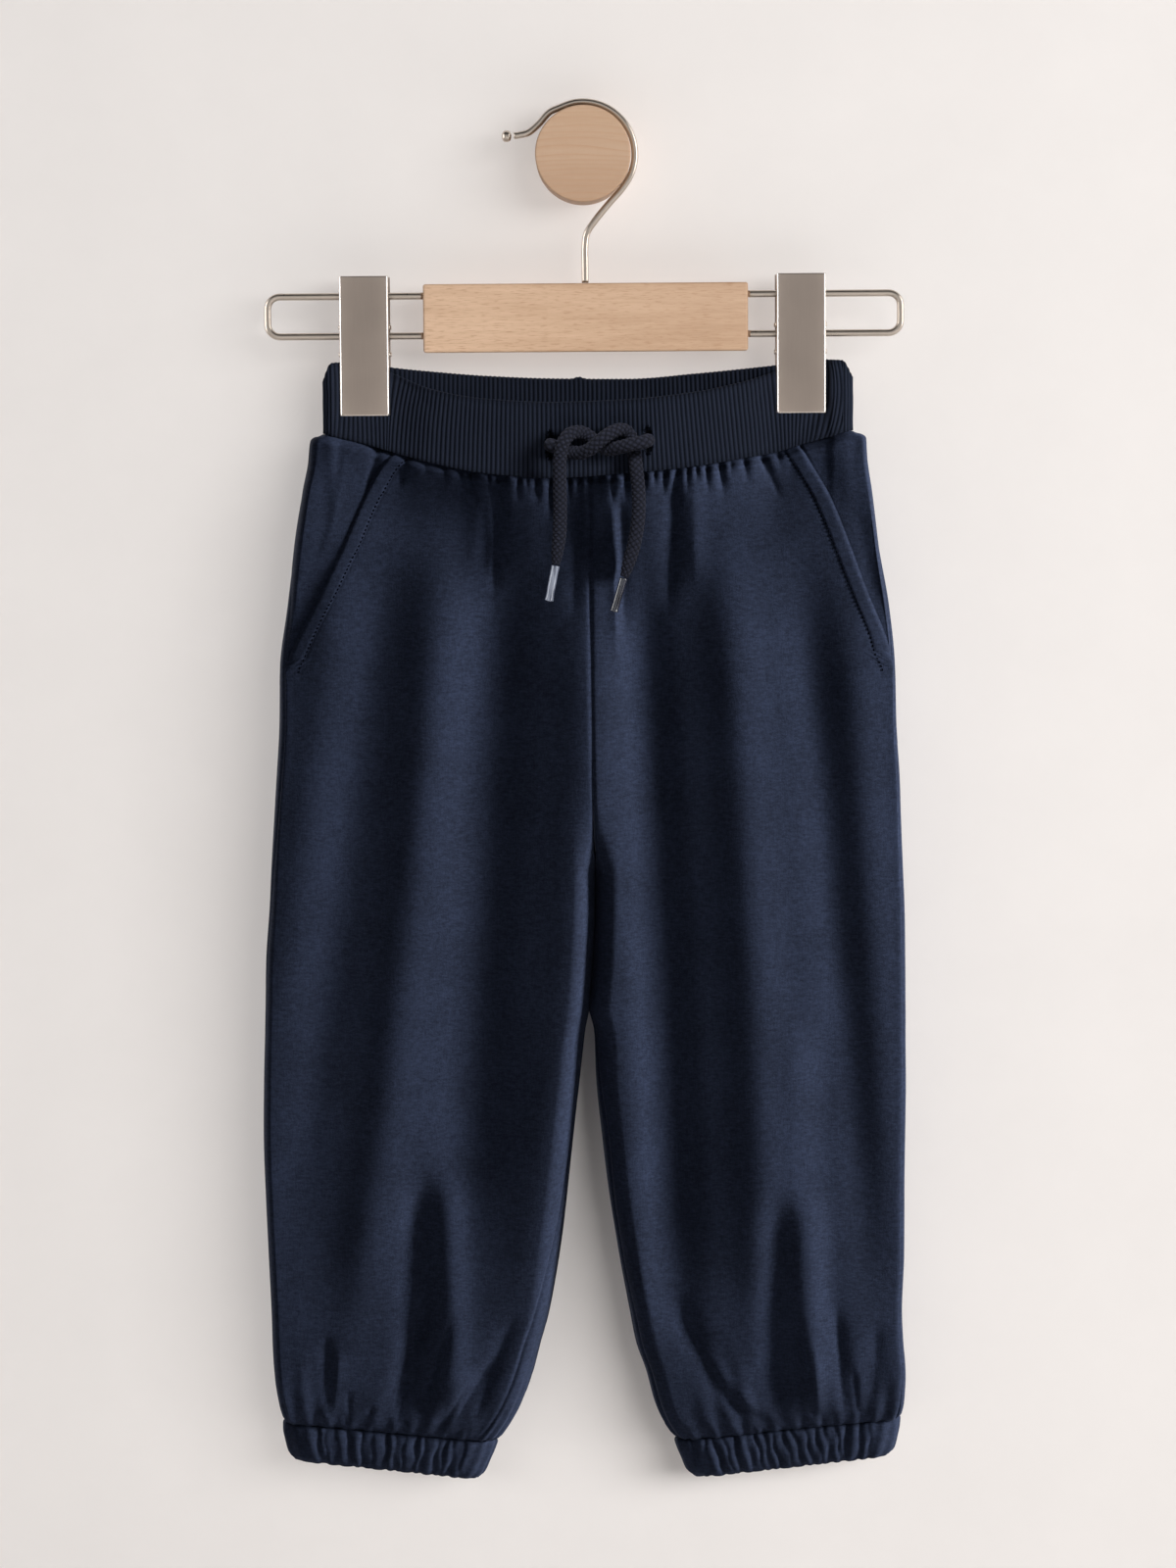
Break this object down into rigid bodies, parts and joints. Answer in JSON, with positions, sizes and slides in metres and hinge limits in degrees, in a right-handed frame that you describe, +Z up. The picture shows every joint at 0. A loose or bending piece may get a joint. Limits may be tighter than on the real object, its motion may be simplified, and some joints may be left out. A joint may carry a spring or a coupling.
{
  "type": "jogger sweatpants on a clip hanger",
  "caption": "Child's pull-on jogger sweatpants with rib waistband, drawstring, slant pockets and gathered cuffs, clipped in a hanger on a wall peg.",
  "frame": {"origin": "middle of the wall peg's flat back face, which lies on the wall", "axes": "+Z up along the hanging garment, +X to the right as seen from the front, +Y into the wall; the front of the garment faces -Y"},
  "size_m": [0.2987, 0.0536, 0.6401],
  "materials": {
    "jersey": "smooth navy sweatshirt jersey, matt with a faint nap",
    "rib_knit": "navy rib knit, matt",
    "braid": "round braided navy cotton cord",
    "clear_tip": "clear glossy film shrunk over the dark cord end",
    "beech": "pale steamed beech, fine grain flecks, satin",
    "nickel_wire": "satin nickel wire",
    "nickel_clip": "finely brushed satin nickel"
  },
  "bodies": {
    "root": {"waistband": "rib_knit", "front_left": "jersey", "front_right": "jersey", "back_left": "jersey", "back_right": "jersey", "pocket_back_left": "jersey", "pocket_back_right": "jersey", "cuff_left": "jersey", "cuff_right": "jersey", "cord_left": "braid", "cord_right": "braid", "tip_left": "clear_tip", "tip_right": "clear_tip", "wall_peg": "beech", "hanger_bar": "beech", "hook": "nickel_wire", "hook_ball": "nickel_wire", "frame_left": "nickel_wire", "frame_right": "nickel_wire", "clip_left_front": "nickel_clip", "clip_left_back": "nickel_clip", "clip_left_spring": "nickel_wire", "clip_right_front": "nickel_clip", "clip_right_back": "nickel_clip", "clip_right_spring": "nickel_wire"}
  },
  "joints": []
}
